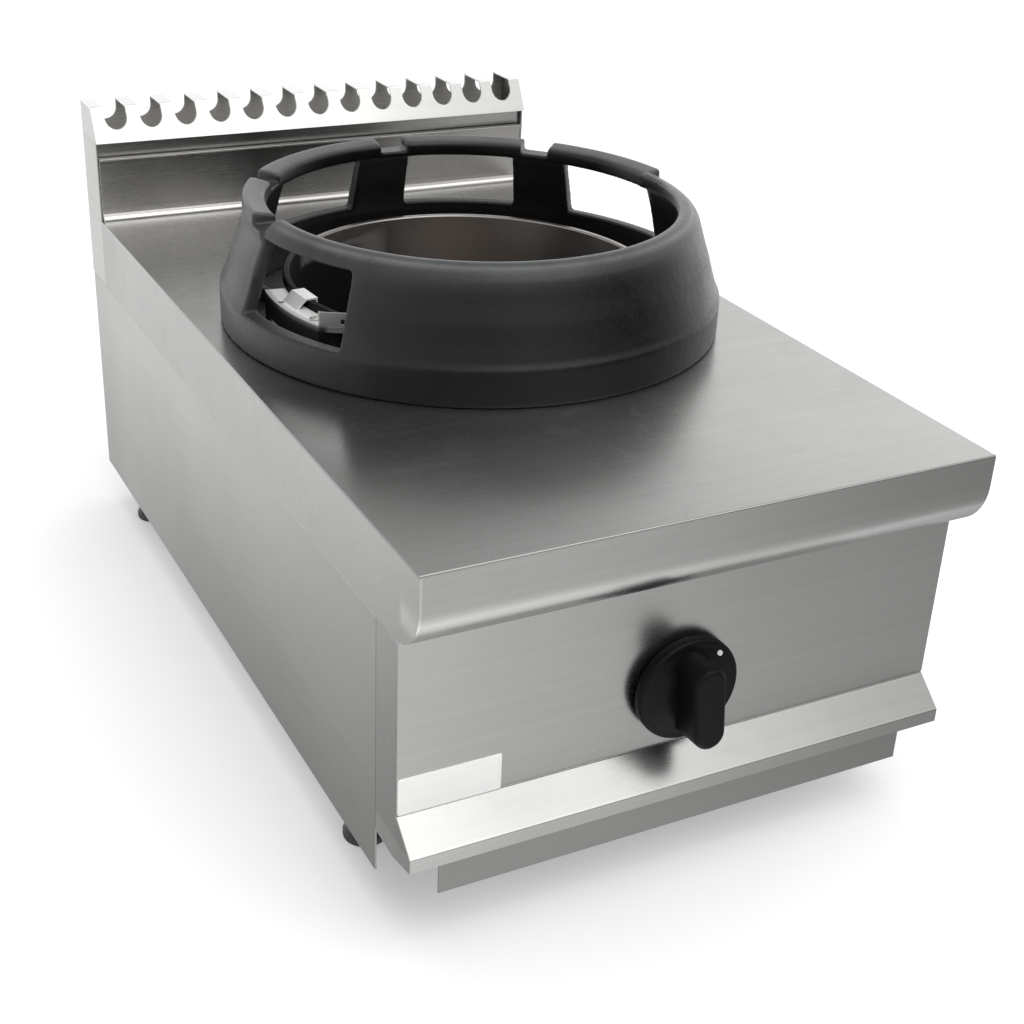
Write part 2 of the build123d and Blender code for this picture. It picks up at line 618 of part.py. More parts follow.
# ---------------------------------------------------------------- pilot set
A_PIL = 185.0
A_SH0, A_SH1 = 171.5, 202.0    # shelf from A_SH0 to A_SH1, upright tab beyond it
Z_SH = 308.0
R_SH = 155.0
ZH = ZR + 3.4                                # top of the hook over the rim
with BuildPart() as pilot_bracket:
    # strip hooked over the rolled rim, down inside the bowl to the burner
    with BuildSketch(radial(A_PIL).offset(-11)):
        with BuildLine():
            Polyline((148.6, Z_SH - 0.4), (140.9, ZH), (131.6, ZH), (131.6, 216.0), (61.5, 214.0), (61.5, 212.8),
                     (132.8, 214.8), (132.8, ZH - 1.2), (140.3, ZH - 1.2), (147.0, Z_SH - 0.6), close=True)
        make_face()
    extrude(amount=22)
    # shelf beside the rim and its stand
    with BuildSketch(radial(A_SH0)):
        with BuildLine():
            Polyline((140.1, Z_SH - 1.2), (R_SH - 1.2, Z_SH - 1.2), (R_SH - 1.2, ZT), (R_SH, ZT), (R_SH, Z_SH),
                     (140.1, Z_SH), close=True)
        make_face()
    revolve(axis=CENTRE, revolution_arc=A_SH1 - A_SH0)
    # flat ear at the end of the shelf, and the upright tab on it that carries the igniter hole
    with BuildSketch(Plane.XY.offset(Z_SH - 1.2)):
        with BuildLine():
            Polyline((-143.9, -55.0), (-129.5, -49.0), (-125.6, -65.2), (-126.3, -66.4), (-143.7, -56.8), close=True)
        make_face()
    extrude(amount=1.2)
    with BuildSketch(Plane(origin=(-143.6, -56.4, 0), x_dir=(0.8755, -0.4832, 0), z_dir=(-0.4832, -0.8755, 0))):
        with BuildLine():
            Polyline((0, 303.6), (19.7, 303.6), (19.7, 318.0), (0, 318.0), close=True)
        make_face()
        with Locations((17.0, 311.6)):
            Circle(2.0, mode=Mode.SUBTRACT)
    extrude(amount=-1.2)
    with BuildSketch(Plane.XY.offset(290)):
        with Locations((151.1 * cos(radians(182.0)), AY + 151.1 * sin(radians(182.0))),
                       (148.6 * cos(radians(198.0)), AY + 148.6 * sin(radians(198.0)))):
            Circle(2.4)
    extrude(amount=40, mode=Mode.SUBTRACT)
    # stand is cut away in the middle, leaving two legs
    with BuildSketch(radial(A_SH0 + 5)):
        with BuildLine():
            Polyline((R_SH - 4, ZT - 1), (R_SH + 3, ZT - 1), (R_SH + 3, ZT + 12), (R_SH - 4, ZT + 12), close=True)
        make_face()
    revolve(axis=CENTRE, revolution_arc=A_SH1 - A_SH0 - 10, mode=Mode.SUBTRACT)
    # seats for the pilot burner and the thermocouple
    with BuildSketch(Plane.XY.offset(205)):
        with Locations((69 * cos(radians(A_PIL - 4.5)), AY + 69 * sin(radians(A_PIL - 4.5)))):
            Circle(4.3)
        with Locations((68 * cos(radians(A_PIL + 6.0)), AY + 68 * sin(radians(A_PIL + 6.0)))):
            Circle(2.7)
    extrude(amount=20, mode=Mode.SUBTRACT)
save(pilot_bracket.part, "pilot_bracket")

PX, PY = 69 * cos(radians(A_PIL - 4.5)), AY + 69 * sin(radians(A_PIL - 4.5))
TX, TY = 68 * cos(radians(A_PIL + 6.0)), AY + 68 * sin(radians(A_PIL + 6.0))
with BuildPart() as pilot_burner:
    with BuildSketch(Plane.XY.offset(205)):
        with Locations((PX, PY)):
            Circle(4.2)
    extrude(amount=28)
    with BuildSketch(Plane.XY.offset(215.3)):
        with Locations((PX, PY)):
            Circle(5.4)
    extrude(amount=5)
    with BuildSketch(Plane.XY.offset(226)):
        with Locations((PX, PY)):
            Circle(5.4)
    extrude(amount=7)
    with BuildSketch(Plane.XY.offset(228)):
        with Locations((PX, PY)):
            with PolarLocations(4, 3):
                Rectangle(6, 2)
    extrude(amount=3, mode=Mode.SUBTRACT)
save(pilot_burner.part, "pilot_burner")

with BuildPart() as pilot_tube:
    with BuildLine() as prun:
        FilletPolyline((KX - 12, -243.8, KZ + 9), (KX - 12, -205, KZ + 9), (-58, -160, 160), (-66, -60, 166),
                       (PX, PY, 172), (PX, PY, 204.8), radius=[14, 20, 26, 9])
    with BuildSketch(Plane(origin=(KX - 12, -243.8, KZ + 9), z_dir=(0, 1, 0))):
        Circle(2.0)
    sweep()
save(pilot_tube.part, "pilot_tube")

with BuildPart() as thermocouple:
    with BuildLine() as trun:
        FilletPolyline((KX + 12, -243.8, KZ + 9), (KX + 12, -196, KZ + 24), (-40, -150, 176), (-50, -70, 176),
                       (TX, TY, 178), (TX, TY, 207.8), radius=[12, 18, 20, 9])
    with BuildSketch(Plane(origin=(KX + 12, -243.8, KZ + 9), z_dir=(0, 1, 0))):
        Circle(1.3)
    sweep()
    with BuildSketch(Plane.XY.offset(207)):
        with Locations((TX, TY)):
            Circle(2.6)
    extrude(amount=29)
save(thermocouple.part, "thermocouple")

# ---------------------------------------------------------------- spill tray and its runners
with BuildPart() as drip_tray:
    # front with a turned-in top edge
    with BuildSketch(yz(-TRAY_HX)):
        with BuildLine():
            Polyline((TRAY_Y, Z_TRAY0), (TRAY_Y + T_SH, Z_TRAY0), (TRAY_Y + T_SH, Z_TRAY1 - T_SH),
                     (TRAY_Y + 9, Z_TRAY1 - T_SH), (TRAY_Y + 9, Z_TRAY1), (TRAY_Y, Z_TRAY1), close=True)
        make_face()
    extrude(amount=2 * TRAY_HX)
    # pan
    with BuildSketch(Plane.XY.offset(43.7)):
        with Locations((0, (TRAY_Y + T_SH + 215) / 2)):
            Rectangle(2 * PAN_HX, 215 - TRAY_Y - T_SH)
    extrude(amount=22)
    with BuildSketch(Plane.XY.offset(44.7)):
        with Locations((0, (TRAY_Y + T_SH + 215) / 2)):
            Rectangle(2 * PAN_HX - 2, 213 - TRAY_Y - T_SH)
    extrude(amount=21.2, mode=Mode.SUBTRACT)
save(drip_tray.part, "drip_tray")

with BuildPart() as tray_runners:
    for s in (-1, 1):
        with BuildSketch(xz(225)):
            with BuildLine():
                Polyline((s * 138, 37.3), (s * 162.6, 37.3), (s * 162.6, 62), (s * 161.4, 62), (s * 161.4, 43.6),
                         (s * 148, 43.6), (s * 148, 42.4), (s * 161.4, 42.4), (s * 161.4, 38.5), (s * 138, 38.5),
                         close=True)
            make_face()
        extrude(amount=225 + 236)
save(tray_runners.part, "tray_runners")

# ---------------------------------------------------------------- feet
FOOT_NAMES = ["foot_front_left", "foot_front_right", "foot_rear_left", "foot_rear_right"]
for (fx, fy), fname in zip(FOOT_POS, FOOT_NAMES):
    with BuildPart() as foot:
        with BuildSketch(radial(0, fx, fy)):
            with BuildLine():
                Polyline((0, 0), (14.5, 0), (15.5, 1.0), (15.5, 5), (13.2, 8), (12.2, 34.5), (11.2, Z_SIDE),
                         (5, Z_SIDE), (5, 58), (4.2, 59), (0, 59), close=True)
            make_face()
        revolve(axis=Axis((fx, fy, 0), (0, 0, 1)))
    save(foot.part, fname)

with BuildPart() as foot_nuts:
    with BuildSketch(Plane.XY.offset(Z_SIDE + T_SH + 0.05)):
        with Locations(*FOOT_POS):
            RegularPolygon(9.2, 6, rotation=30)
        with Locations(*FOOT_POS):
            Circle(5.05, mode=Mode.SUBTRACT)
    extrude(amount=8)
save(foot_nuts.part, "foot_nuts")

with BuildPart() as burner_bolts:
    # bolts of the burner lugs
    with BuildSketch(Plane.XY.offset(127.85)):
        with Locations((-40, AY), (40, AY)):
            RegularPolygon(5.4, 6)
    extrude(amount=4)
    with BuildSketch(Plane.XY.offset(127.85)):
        with Locations((-40, AY), (40, AY)):
            Circle(2.9)
    extrude(amount=-6.0)
save(burner_bolts.part, "burner_bolts")
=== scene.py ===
import math
from math import cos, pi, radians, sin

import bmesh
import bpy
from mathutils import Matrix, Vector


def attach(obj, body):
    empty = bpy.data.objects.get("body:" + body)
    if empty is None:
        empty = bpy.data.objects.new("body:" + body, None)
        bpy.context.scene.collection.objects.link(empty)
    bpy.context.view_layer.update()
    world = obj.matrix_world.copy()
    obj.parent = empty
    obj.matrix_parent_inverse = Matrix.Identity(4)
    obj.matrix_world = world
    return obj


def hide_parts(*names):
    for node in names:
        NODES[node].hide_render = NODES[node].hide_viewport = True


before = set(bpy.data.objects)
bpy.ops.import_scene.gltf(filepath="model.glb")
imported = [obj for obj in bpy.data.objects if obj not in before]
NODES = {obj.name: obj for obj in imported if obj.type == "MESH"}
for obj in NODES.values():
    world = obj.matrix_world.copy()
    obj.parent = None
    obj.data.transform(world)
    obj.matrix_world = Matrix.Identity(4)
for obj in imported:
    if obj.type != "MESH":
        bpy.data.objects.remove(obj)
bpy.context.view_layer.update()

SCENE = bpy.context.scene
MM = 0.001
AY = 0.002                       # burner axis, y
ZT = 0.280                       # worktop surface


# ------------------------------------------------------------------ camera
def make_camera():
    a, e, r = radians(-28.2467), radians(27.2526), radians(2.7003)
    back = Vector((sin(a) * cos(e), -cos(a) * cos(e), sin(e)))
    right = (-back).cross(Vector((0, 0, 1))).normalized()
    up = right.cross(-back)
    x = right * cos(r) + up * sin(r)
    y = up * cos(r) - right * sin(r)
    data = bpy.data.cameras.new("camera")
    data.sensor_width = 36.0
    data.lens = 56.97
    data.clip_start, data.clip_end = 0.02, 60.0
    cam = bpy.data.objects.new("camera", data)
    SCENE.collection.objects.link(cam)
    m = Matrix((x, y, back)).transposed().to_4x4()
    m.translation = Vector((-0.51209, -1.03304, 0.70585))
    cam.matrix_world = m
    SCENE.camera = cam


make_camera()


# ------------------------------------------------------------------ shader helpers
class Mat:
    """A node material built in short steps."""

    def __init__(self, name):
        self.mat = bpy.data.materials.new(name)
        self.mat.use_nodes = True
        self.nt = self.mat.node_tree
        self.nt.nodes.clear()
        self.out = self.nt.nodes.new("ShaderNodeOutputMaterial")
        self.bsdf = self.nt.nodes.new("ShaderNodeBsdfPrincipled")
        self.nt.links.new(self.bsdf.outputs[0], self.out.inputs[0])

    def node(self, kind, **props):
        n = self.nt.nodes.new(kind)
        for k, v in props.items():
            setattr(n, k, v)
        return n

    def put(self, socket, value):
        if isinstance(value, bpy.types.NodeSocket):
            self.nt.links.new(value, socket)
        else:
            socket.default_value = value

    def set(self, **values):
        for k, v in values.items():
            name = k.replace("_", " ")
            if isinstance(v, tuple) and len(v) == 3 and "Color" in name:
                v = (*v, 1.0)
            self.put(self.bsdf.inputs[name], v)
        return self

    def coords(self, scale=(1, 1, 1), rotate=(0, 0, 0)):
        t = self.node("ShaderNodeTexCoord")
        m = self.node("ShaderNodeMapping")
        self.nt.links.new(t.outputs["Object"], m.inputs["Vector"])
        m.inputs["Scale"].default_value = scale
        m.inputs["Rotation"].default_value = rotate
        return m.outputs[0]

    def noise(self, vec, scale=1.0, detail=3.0, rough=0.55, distort=0.0):
        n = self.node("ShaderNodeTexNoise")
        self.put(n.inputs["Vector"], vec)
        n.inputs["Scale"].default_value = scale
        n.inputs["Detail"].default_value = detail
        n.inputs["Roughness"].default_value = rough
        n.inputs["Distortion"].default_value = distort
        return n.outputs["Fac"]

    def remap(self, value, a0, a1, b0, b1, clamp=True):
        n = self.node("ShaderNodeMapRange", clamp=clamp)
        self.put(n.inputs["Value"], value)
        for k, v in zip(("From Min", "From Max", "To Min", "To Max"), (a0, a1, b0, b1)):
            n.inputs[k].default_value = v
        return n.outputs["Result"]

    def math(self, op, a, b=0.0, c=0.0):
        n = self.node("ShaderNodeMath", operation=op)
        self.put(n.inputs[0], a)
        self.put(n.inputs[1], b)
        if op == "MULTIPLY_ADD":
            self.put(n.inputs[2], c)
        return n.outputs[0]

    def vmath(self, op, a, b):
        n = self.node("ShaderNodeVectorMath", operation=op)
        self.put(n.inputs[0], a)
        self.put(n.inputs[1], b)
        return n.outputs[0]

    def mix(self, fac, a, b):
        n = self.node("ShaderNodeMix", data_type="RGBA")
        self.put(n.inputs["Factor"], fac)
        for s, v in ((n.inputs[6], a), (n.inputs[7], b)):
            self.put(s, (*v, 1.0) if isinstance(v, tuple) and len(v) == 3 else v)
        return n.outputs[2]

    def bump(self, height, strength=0.3, distance=0.0002, normal=None):
        n = self.node("ShaderNodeBump")
        n.inputs["Strength"].default_value = strength
        n.inputs["Distance"].default_value = distance
        self.put(n.inputs["Height"], height)
        if normal is not None:
            self.put(n.inputs["Normal"], normal)
        return n.outputs[0]

    def paint_light_and_shade(self, colour, items):
        """Painted light and shade: slowly multiplies a colour by ramps over the part's position, standing in for
        reflections, highlights and shadows; each item is (axis, [(place, factor), ...], [(axis, from, to), ...]).
        """
        t = self.node("ShaderNodeTexCoord")
        s = self.node("ShaderNodeSeparateXYZ")
        self.put(s.inputs[0], t.outputs["Object"])
        flat = self.node("ShaderNodeCombineXYZ")
        self.put(flat.inputs[0], s.outputs[0])
        self.put(flat.inputs[1], self.math("SUBTRACT", s.outputs[1], AY))
        ln = self.node("ShaderNodeVectorMath", operation="LENGTH")
        self.put(ln.inputs[0], flat.outputs[0])
        axis = {"X": s.outputs[0], "Y": s.outputs[1], "Z": s.outputs[2], "R": ln.outputs["Value"]}
        total = 1.0
        for ax, stops, gates in items:
            n = self.node("ShaderNodeValToRGB")
            self.put(n.inputs[0], self.remap(axis[ax], -0.4, 0.4, 0.0, 1.0))
            cr = n.color_ramp
            while len(cr.elements) < len(stops):
                cr.elements.new(0.5)
            for e, (p, f) in zip(cr.elements, stops):
                e.position = (p + 0.4) / 0.8
                e.color = (f / 8, f / 8, f / 8, 1)
            f = self.math("MULTIPLY", n.outputs[0], 8.0)
            for gx, g0, g1 in gates:
                w = self.remap(axis[gx], g0, g1, 0.0, 1.0)
                f = self.math("MULTIPLY_ADD", w, self.math("SUBTRACT", f, 1.0), 1.0)
            total = f if total == 1.0 else self.math("MULTIPLY", total, f)
        n = self.node("ShaderNodeVectorMath", operation="SCALE")
        self.put(n.inputs[0], colour)
        self.put(n.inputs["Scale"], total)
        return self.vmath("MINIMUM", n.outputs[0], (0.93, 0.93, 0.93))

    def across(self, grain, spare):
        """Direction in the surface, square to the brushing, along which highlights stretch.
        Where a fold turns the sheet square to the grain, the brushing runs along spare."""
        g = self.node("ShaderNodeNewGeometry")
        d = self.node("ShaderNodeVectorMath", operation="DOT_PRODUCT")
        self.put(d.inputs[0], g.outputs["Normal"])
        self.put(d.inputs[1], grain)
        k = self.math("ABSOLUTE", d.outputs["Value"])
        n = self.node("ShaderNodeVectorMath", operation="SCALE")
        n.inputs[0].default_value = spare
        self.put(n.inputs["Scale"], k)
        return self.vmath("CROSS_PRODUCT", g.outputs["Normal"], self.vmath("ADD", grain, n.outputs[0]))


def lerp3(a, k):
    return tuple(min(1.0, c * k) for c in a)


def brushed(name, colour, rough=0.28, grain="X", aniso=0.45, wander=0.035, tint=0.05, mark=0.0, fine=0.30, painted_light=None,
            solid=1.0, inner=None):
    """Brushed stainless sheet. grain is the brushing direction, X, Y or Z."""
    m = Mat(name)
    along, cross = 5.0, 1400.0
    sc = {"X": (along, cross, cross), "Y": (cross, along, cross), "Z": (cross, cross, along)}[grain]
    wide = {"X": (1.2, 160, 160), "Y": (160, 1.2, 160), "Z": (160, 160, 1.2)}[grain]
    hair = m.noise(m.coords(sc), 1.0, 4.0, 0.65)
    streak = m.noise(m.coords(wide), 1.0, 3.0, 0.6)
    cloud = m.noise(m.coords((7, 7, 7)), 1.0, 4.0, 0.55, 0.4)
    smear = m.noise(m.coords((22, 22, 22)), 1.0, 5.0, 0.62, 1.2)
    value = m.math("MULTIPLY_ADD", hair, 0.45, m.math("MULTIPLY", streak, 0.55))
    base = m.mix(m.remap(value, 0.3, 0.7, 0.0, 1.0), lerp3(colour, 1 - tint), lerp3(colour, 1 + tint))
    metallic = m.math("MULTIPLY_ADD", cloud, 0.02, solid - 0.02)
    if inner:                                    # painted light: beyond this y, the surfaces inside the flue turn pale and mostly non-metallic so the shaded inside reads lit
        t = m.node("ShaderNodeTexCoord")
        s = m.node("ShaderNodeSeparateXYZ")
        m.put(s.inputs[0], t.outputs["Object"])
        k = m.math("MULTIPLY", m.remap(s.outputs[1], inner[0], inner[1], 0.0, 1.0),
                   m.math("LESS_THAN", m.math("ABSOLUTE", s.outputs[0]), 0.1985))
        k = m.math("MULTIPLY", k, m.math("LESS_THAN", s.outputs[1], 0.3522))
        metallic = m.math("SUBTRACT", metallic, m.math("MULTIPLY", k, 0.75))
        base = m.mix(k, base, (0.72, 0.70, 0.67))
    # painted light and shade: when a table is given, the base colour is multiplied by its ramps
    m.set(Base_Color=m.paint_light_and_shade(base, painted_light) if painted_light else base, Metallic=metallic)
    r = m.math("MULTIPLY_ADD", m.remap(cloud, 0.3, 0.7, -1.0, 1.0), wander, rough)
    r = m.math("MULTIPLY_ADD", m.remap(hair, 0.25, 0.75, -1.0, 1.0), 0.03, r)
    if mark:
        r = m.math("MULTIPLY_ADD", m.remap(smear, 0.55, 0.75, 0.0, 1.0), mark, r)
    m.set(Roughness=r, Anisotropic=aniso)
    vec = {"X": (1, 0, 0), "Y": (0, 1, 0), "Z": (0, 0, 1)}[grain]
    spare = {"X": (0, 0, 1), "Y": (0, 0, 1), "Z": (1, 0, 0)}[grain]
    m.put(m.bsdf.inputs["Tangent"], m.across(vec, spare))
    m.set(Normal=m.bump(m.math("MULTIPLY_ADD", hair, 0.7, m.math("MULTIPLY", streak, 0.3)), fine, 0.00004))
    return m.mat


def spun(name, colour, rough=0.3, tint=0.06, stain=None, painted_shade_band=None):
    """Sheet spun on a lathe: fine rings round the burner axis."""
    m = Mat(name)
    t = m.node("ShaderNodeTexCoord")
    p = m.vmath("SUBTRACT", t.outputs["Object"], (0.0, AY, 0.0))
    s = m.node("ShaderNodeSeparateXYZ")
    m.put(s.inputs[0], p)
    c = m.node("ShaderNodeCombineXYZ")
    m.put(c.inputs[0], s.outputs[0])
    m.put(c.inputs[1], s.outputs[1])
    ln = m.node("ShaderNodeVectorMath", operation="LENGTH")
    m.put(ln.inputs[0], c.outputs[0])
    rc = m.node("ShaderNodeCombineXYZ")
    m.put(rc.inputs[0], m.math("MULTIPLY", ln.outputs["Value"], 900.0))
    m.put(rc.inputs[1], m.math("MULTIPLY", s.outputs[2], 900.0))
    ring = m.noise(rc.outputs[0], 1.0, 3.0, 0.6)
    cloud = m.noise(m.coords((14, 14, 14)), 1.0, 4.0, 0.6, 0.6)
    base = m.mix(m.remap(ring, 0.3, 0.7, 0, 1), lerp3(colour, 1 - tint), lerp3(colour, 1 + tint))
    if stain:
        base = m.mix(m.remap(cloud, 0.42, 0.72, 0.0, 0.75), base, stain)
    r = m.math("MULTIPLY_ADD", m.remap(cloud, 0.3, 0.7, -1, 1), 0.06, rough)
    metallic = 1.0
    if painted_shade_band:                     # painted shade: near black from the top of the given band down to its foot deep in the bowl, and on the left round the pilot and on the left of the rim, where the bowl lies in shadow
        h = m.math("MULTIPLY_ADD", m.remap(cloud, 0.3, 0.7, -1, 1), 0.006, s.outputs[2])
        low = m.remap(h, painted_shade_band[0], painted_shade_band[1], 1.0, 0.0)
        side = m.math("MULTIPLY", m.remap(s.outputs[0], -0.010, -0.045, 0.0, 1.0), m.remap(h, 0.296, 0.306, 1.0, 0.0))
        rim = m.math("MULTIPLY", m.remap(s.outputs[0], -0.080, -0.098, 0.0, 1.0), m.remap(s.outputs[1], 0.100, 0.085, 0.0, 1.0))
        k = m.math("MAXIMUM", m.math("MAXIMUM", low, side), rim)
        base = m.mix(k, base, (0.004, 0.0036, 0.0034))
        r = m.math("MULTIPLY_ADD", k, 0.20, r)
        metallic = m.math("SUBTRACT", 1.0, k)
        m.set(Specular_IOR_Level=0.2)
    m.set(Base_Color=base, Metallic=metallic, Anisotropic=0.5, Roughness=r)
    g = m.node("ShaderNodeNewGeometry")
    tang = m.node("ShaderNodeTangent", direction_type="RADIAL", axis="Z")
    m.put(m.bsdf.inputs["Tangent"], m.vmath("CROSS_PRODUCT", g.outputs["Normal"], tang.outputs[0]))
    m.set(Normal=m.bump(ring, 0.35, 0.00005))
    return m.mat


def metal(name, colour, rough=0.3, tint=0.08, grain=60, bump=0.15, dark=None, worn=0.5):
    """Turned, forged or drawn metal."""
    m = Mat(name)
    fine = m.noise(m.coords((grain * 12,) * 3), 1.0, 4.0, 0.6)
    cloud = m.noise(m.coords((grain,) * 3), 1.0, 4.0, 0.6, 0.5)
    base = m.mix(m.remap(cloud, 0.3, 0.7, 0, 1), lerp3(colour, 1 - tint), lerp3(colour, 1 + tint))
    if dark:
        base = m.mix(m.remap(cloud, worn, worn + 0.2, 0.0, 0.85), base, dark)
    m.set(Base_Color=base, Metallic=1.0,
          Roughness=m.math("MULTIPLY_ADD", m.remap(cloud, 0.3, 0.7, -1, 1), 0.08, rough))
    m.set(Normal=m.bump(fine, bump, 0.00008))
    return m.mat


def cast(name, colour=(0.03, 0.031, 0.032), rough=0.40, grit=1.0, spec=0.5, painted_light=None):
    """Satin black casting: fine sand grain, slow waviness, thinner coat on the high spots."""
    m = Mat(name)
    sand = m.noise(m.coords((1500,) * 3), 1.0, 3.0, 0.6)
    grain = m.noise(m.coords((420,) * 3), 1.0, 5.0, 0.62)
    cloud = m.noise(m.coords((26,) * 3), 1.0, 4.0, 0.6, 0.4)
    base = m.mix(m.remap(cloud, 0.3, 0.72, 0, 1), lerp3(colour, 0.8), lerp3(colour, 1.35))
    base = m.mix(m.remap(grain, 0.58, 0.72, 0.0, 0.5), base, lerp3(colour, 2.0))
    # painted light and shade: when a table is given, the base colour is multiplied by its ramps
    m.set(Base_Color=m.paint_light_and_shade(base, painted_light) if painted_light else base, Specular_IOR_Level=spec,
          Roughness=m.math("MULTIPLY_ADD", m.remap(grain, 0.3, 0.7, -1, 1), 0.08,
                           m.math("MULTIPLY_ADD", m.remap(cloud, 0.3, 0.7, -1, 1), 0.05, rough)))
    n1 = m.bump(grain, 0.35 * grit, 0.00025)
    m.set(Normal=m.bump(sand, 0.30 * grit, 0.00010, n1))
    return m.mat


def plastic(name, colour, rough=0.36, grit=0.25, scale=1800, spec=0.5):
    m = Mat(name)
    fine = m.noise(m.coords((scale,) * 3), 1.0, 2.0, 0.5)
    cloud = m.noise(m.coords((40,) * 3), 1.0, 3.0, 0.6)
    m.set(Base_Color=m.mix(m.remap(cloud, 0.3, 0.7, 0, 1), lerp3(colour, 0.85), lerp3(colour, 1.2)),
          Specular_IOR_Level=spec,
          Roughness=m.math("MULTIPLY_ADD", m.remap(cloud, 0.3, 0.7, -1, 1), 0.05, rough))
    m.set(Normal=m.bump(fine, grit, 0.00006))
    return m.mat


# painted light and shade on the worktop: darker and lighter bands over the deck, brighter bands on the nosing towards
# the right, and a lighter front on the left skirt, standing in for the ring's reflection and shadow and for the
# studio's reflections
DECK_PAINTED_LIGHT = [("Y", [(-0.340, 0.94), (-0.270, 0.86), (-0.210, 0.74), (-0.120, 0.70), (-0.050, 0.88), (0.0, 0.86), (0.080, 0.78),
                (0.165, 0.95)], [("X", -0.090, -0.190), ("Z", 0.2775, 0.2795)]),
        ("Y", [(0.12, 1.0), (0.20, 1.16), (0.285, 1.16)], [("X", -0.020, -0.150), ("Z", 0.2775, 0.2795)]),
        ("Y", [(-0.300, 0.86), (-0.240, 0.93), (-0.180, 1.0)], [("X", 0.080, -0.080), ("Z", 0.2775, 0.2795)]),
        ("Y", [(-0.290, 1.0), (-0.250, 0.95), (-0.120, 0.91)], [("X", 0.050, 0.090), ("Z", 0.2775, 0.2795)]),
        ("Z", [(0.234, 1.0), (0.238, 1.22), (0.241, 1.34), (0.246, 1.36), (0.252, 1.12), (0.258, 1.0)],
         [("Y", -0.325, -0.330)]),
        ("X", [(-0.2, 1.0), (0.0, 1.10), (0.06, 1.40), (0.13, 1.85), (0.2, 1.90)],
         [("Y", -0.325, -0.330), ("Z", 0.247, 0.241)]),
        ("X", [(-0.2, 0.99), (0.0, 0.96), (0.2, 0.82)], [("Y", -0.3500, -0.3515), ("Z", 0.247, 0.252)]),
        ("Y", [(-0.29, 1.26), (-0.10, 1.08), (0.10, 1.0), (0.26, 0.98), (0.32, 0.86), (0.345, 0.70)],
         [("X", -0.1980, -0.1990), ("Z", 0.2790, 0.2770)])]
# painted shade on the side panels: darker towards the floor and towards the middle of the lower part, standing in for
# the floor's shadow seen in the steel
SIDES_PAINTED_SHADE = [("Z", [(0.03, 0.73), (0.08, 0.80), (0.12, 0.87), (0.21, 0.94)], []),
         ("Y", [(-0.290, 1.02), (-0.200, 0.95), (-0.100, 0.86), (0.0, 0.78), (0.100, 0.77), (0.200, 0.83), (0.320, 0.88)],
          [("Z", 0.200, 0.090)]),
         ("Y", [(0.26, 1.0), (0.32, 0.90)], [])]
# painted reflection on the control panel: lighter to the left; the drip ledge darker to the right and brighter along
# its lower edge
FRONT_PAINTED_LIGHT = [("X", [(-0.2, 1.17), (-0.12, 1.06), (-0.05, 1.0), (0.05, 0.98), (0.2, 0.98)], []),
         ("X", [(-0.2, 0.95), (-0.12, 0.90), (-0.05, 0.92), (0.03, 0.83), (0.12, 0.75), (0.2, 0.73)],
          [("Z", 0.1035, 0.0990), ("Y", -0.318, -0.325)]),
         ("X", [(-0.2, 1.20), (0.2, 1.20)], [("Z", 0.0835, 0.0815)])]
# painted reflection on the splashback: lighter at the left, darker in the middle, and a painted highlight along the
# cove at its foot
UPSTAND_PAINTED_LIGHT = [("X", [(-0.2, 1.15), (-0.10, 1.05), (-0.03, 0.72), (0.01, 0.74), (0.06, 0.90), (0.2, 0.90)], []),
           ("Z", [(0.280, 1.38), (0.2865, 1.38), (0.289, 1.0)], [])]
# painted light and shade on the flue crown: darker towards the right below the top, and a painted highlight on the top
# land
CROWN_PAINTED_LIGHT = [("X", [(-0.1, 0.92), (0.03, 0.86), (0.10, 0.74), (0.2, 0.68)], [("Z", 0.3733, 0.3725)]),
         ("X", [(-0.2, 1.6), (0.2, 1.6)], [("Z", 0.3725, 0.3733)])]
# painted light and shade on the cast ring: lighter towards the top, painted highlight lines at the front rim's edges, a
# dark rear inner edge, and a lighter left flank
RING_PAINTED_LIGHT = [("Z", [(0.280, 0.50), (0.330, 0.50), (0.352, 0.90), (0.364, 4.0), (0.3695, 6.0), (0.3712, 7.9)], []),
        ("R", [(0.1500, 2.4), (0.1522, 2.2), (0.1535, 0.85), (0.1575, 0.85), (0.1590, 2.4), (0.1605, 2.4), (0.1625, 1.0)],
         [("Z", 0.357, 0.362), ("Y", -0.010, -0.030)]),
        ("R", [(0.148, 0.06), (0.1508, 0.06), (0.1525, 1.0)], [("Z", 0.3695, 0.3680), ("Y", 0.030, 0.060)]),
        ("X", [(-0.190, 7.9), (-0.165, 7.0), (-0.130, 1.6), (-0.100, 1.0)], [("Z", 0.358, 0.352)]),
        ("Z", [(0.3698, 1.0), (0.3708, 1.7)], [])]
# painted shade on the bright strip: near black below the shelf top outside the rim, and darker in front of y -0.057,
# where it lies in the ring's shadow
STRIP_PAINTED_SHADE = [("Z", [(0.2, 0.04), (0.3060, 0.04), (0.3072, 1.0)], [("R", 0.1505, 0.1525)]),
         ("Z", [(0.3, 0.40), (0.32, 0.40)], [("Y", -0.0562, -0.0572)])]
